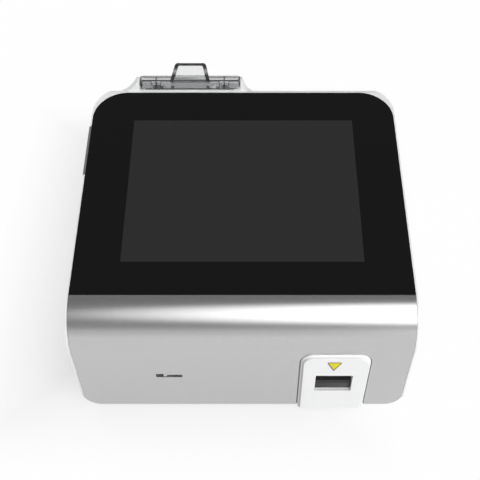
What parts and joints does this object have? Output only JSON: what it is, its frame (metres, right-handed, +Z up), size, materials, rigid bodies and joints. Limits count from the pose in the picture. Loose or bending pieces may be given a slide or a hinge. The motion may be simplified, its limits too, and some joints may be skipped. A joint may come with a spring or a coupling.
{
  "type": "immunofluorescence analyzer",
  "caption": "Bench-top immunofluorescence analyzer: sloping glass display, cartridge tray in a front bezel, chip slot and a thermal printer under a clear lid.",
  "frame": {"origin": "on the table plane, in the middle of the width and depth", "axes": "+X to the user's right, +Y to the back, +Z up"},
  "size_m": [0.2274, 0.2193, 0.1431],
  "materials": {
    "case_white": "fine satin moulding",
    "silver_paint": "metallic silver paint, satin",
    "black_glass": "polished, printed black from behind",
    "display_grey": "display panel, unlit",
    "bezel_white": "gloss moulding",
    "dark_plastic": "fine textured",
    "clear_plastic": "clear, slightly smoked",
    "port_grey": "soft grey moulding",
    "black_rubber": "matt rubber",
    "steel": "ground and plated steel",
    "sheet_steel": "zinc-plated sheet",
    "anodised": "black anodised",
    "brass": "turned brass",
    "circuit_board": "solder mask over glass laminate",
    "nylon": "moulded nylon",
    "optical_glass": "polished lens",
    "red_filter": "coloured filter glass",
    "ribbon": "flat flexible cable",
    "ceramic": "glazed ceramic strip"
  },
  "bodies": {
    "case": {"main_housing": "case_white", "front_cover": "silver_paint", "touch_glass": "black_glass", "display_module": "display_grey", "display_bracket": "sheet_steel", "display_screws": "steel", "display_board": "circuit_board", "cartridge_bezel": "bezel_white", "tray_chassis": "dark_plastic", "guide_rods": "steel", "tray_motor": "sheet_steel", "position_sensor": "dark_plastic", "optics_block": "anodised", "objective_lens": "optical_glass", "emission_filter": "red_filter", "excitation_led": "circuit_board", "detector_board": "circuit_board", "chip_socket": "dark_plastic", "chip_board": "circuit_board", "base_plate": "case_white", "rubber_feet": "black_rubber", "base_screws": "steel", "speaker": "dark_plastic", "main_board": "circuit_board", "io_board": "circuit_board", "board_screws": "steel", "lan_socket": "sheet_steel", "rear_usb_sockets": "sheet_steel", "serial_socket": "sheet_steel", "dc_inlet": "dark_plastic", "power_switch_frame": "dark_plastic", "side_usb_sockets": "sheet_steel", "side_port_board": "circuit_board", "port_cover_pin": "steel", "cover_hinge_pins": "steel", "printer_frame": "sheet_steel", "printer_motor": "sheet_steel", "print_head": "ceramic", "head_springs": "steel", "paper_bin": "dark_plastic", "display_ribbon": "ribbon"},
    "cartridge_tray": {"cartridge_tray": "dark_plastic", "tray_carriage": "dark_plastic", "tray_nut": "brass"},
    "lead_screw": {"lead_screw": "steel"},
    "printer_cover": {"printer_cover": "clear_plastic"},
    "platen": {"platen_roller": "black_rubber", "platen_gear": "nylon"},
    "idler": {"idler_gear": "nylon"},
    "pinion": {"motor_pinion": "brass", "motor_spindle": "steel"},
    "power_rocker": {"power_rocker": "dark_plastic"},
    "side_port_cover": {"side_port_cover": "port_grey"}
  },
  "joints": [
    {"name": "tray_slide", "type": "slide", "parent": "case", "child": "cartridge_tray", "axis": [0, -1, 0], "range_m": [0, 0.06]},
    {"name": "lead_screw_spin", "type": "hinge", "parent": "case", "child": "lead_screw", "pos_m": [0.062, -0.0964, 0.0206], "axis": [0, -1, 0], "range_deg": [0, 1836]},
    {"name": "printer_cover_hinge", "type": "hinge", "parent": "case", "child": "printer_cover", "pos_m": [0, 0.09326, 0.13158], "axis": [1, 0, 0], "range_deg": [0, 95]},
    {"name": "platen_spin", "type": "hinge", "parent": "case", "child": "platen", "pos_m": [-0.04065, 0.09486, 0.11898], "axis": [1, 0, 0], "continuous": true},
    {"name": "idler_spin", "type": "hinge", "parent": "case", "child": "idler", "pos_m": [-0.00725, 0.08516, 0.10928], "axis": [1, 0, 0], "continuous": true},
    {"name": "pinion_spin", "type": "hinge", "parent": "case", "child": "pinion", "pos_m": [-0.00725, 0.07671, 0.10059], "axis": [1, 0, 0], "continuous": true},
    {"name": "power_rocker_tilt", "type": "hinge", "parent": "case", "child": "power_rocker", "pos_m": [-0.054, 0.09306, 0.03], "axis": [1, 0, 0], "range_deg": [0, 16]},
    {"name": "side_port_hinge", "type": "hinge", "parent": "case", "child": "side_port_cover", "pos_m": [-0.1129, 0.03862, 0.0961], "axis": [0, -0.9836, -0.1805], "range_deg": [0, 95]}
  ],
  "couplings": [
    {"joint": "lead_screw_spin", "follows": "tray_slide", "rad_per_m": 523.55},
    {"joint": "idler_spin", "follows": "platen_spin", "ratio": -0.7},
    {"joint": "pinion_spin", "follows": "platen_spin", "ratio": 1.4}
  ]
}
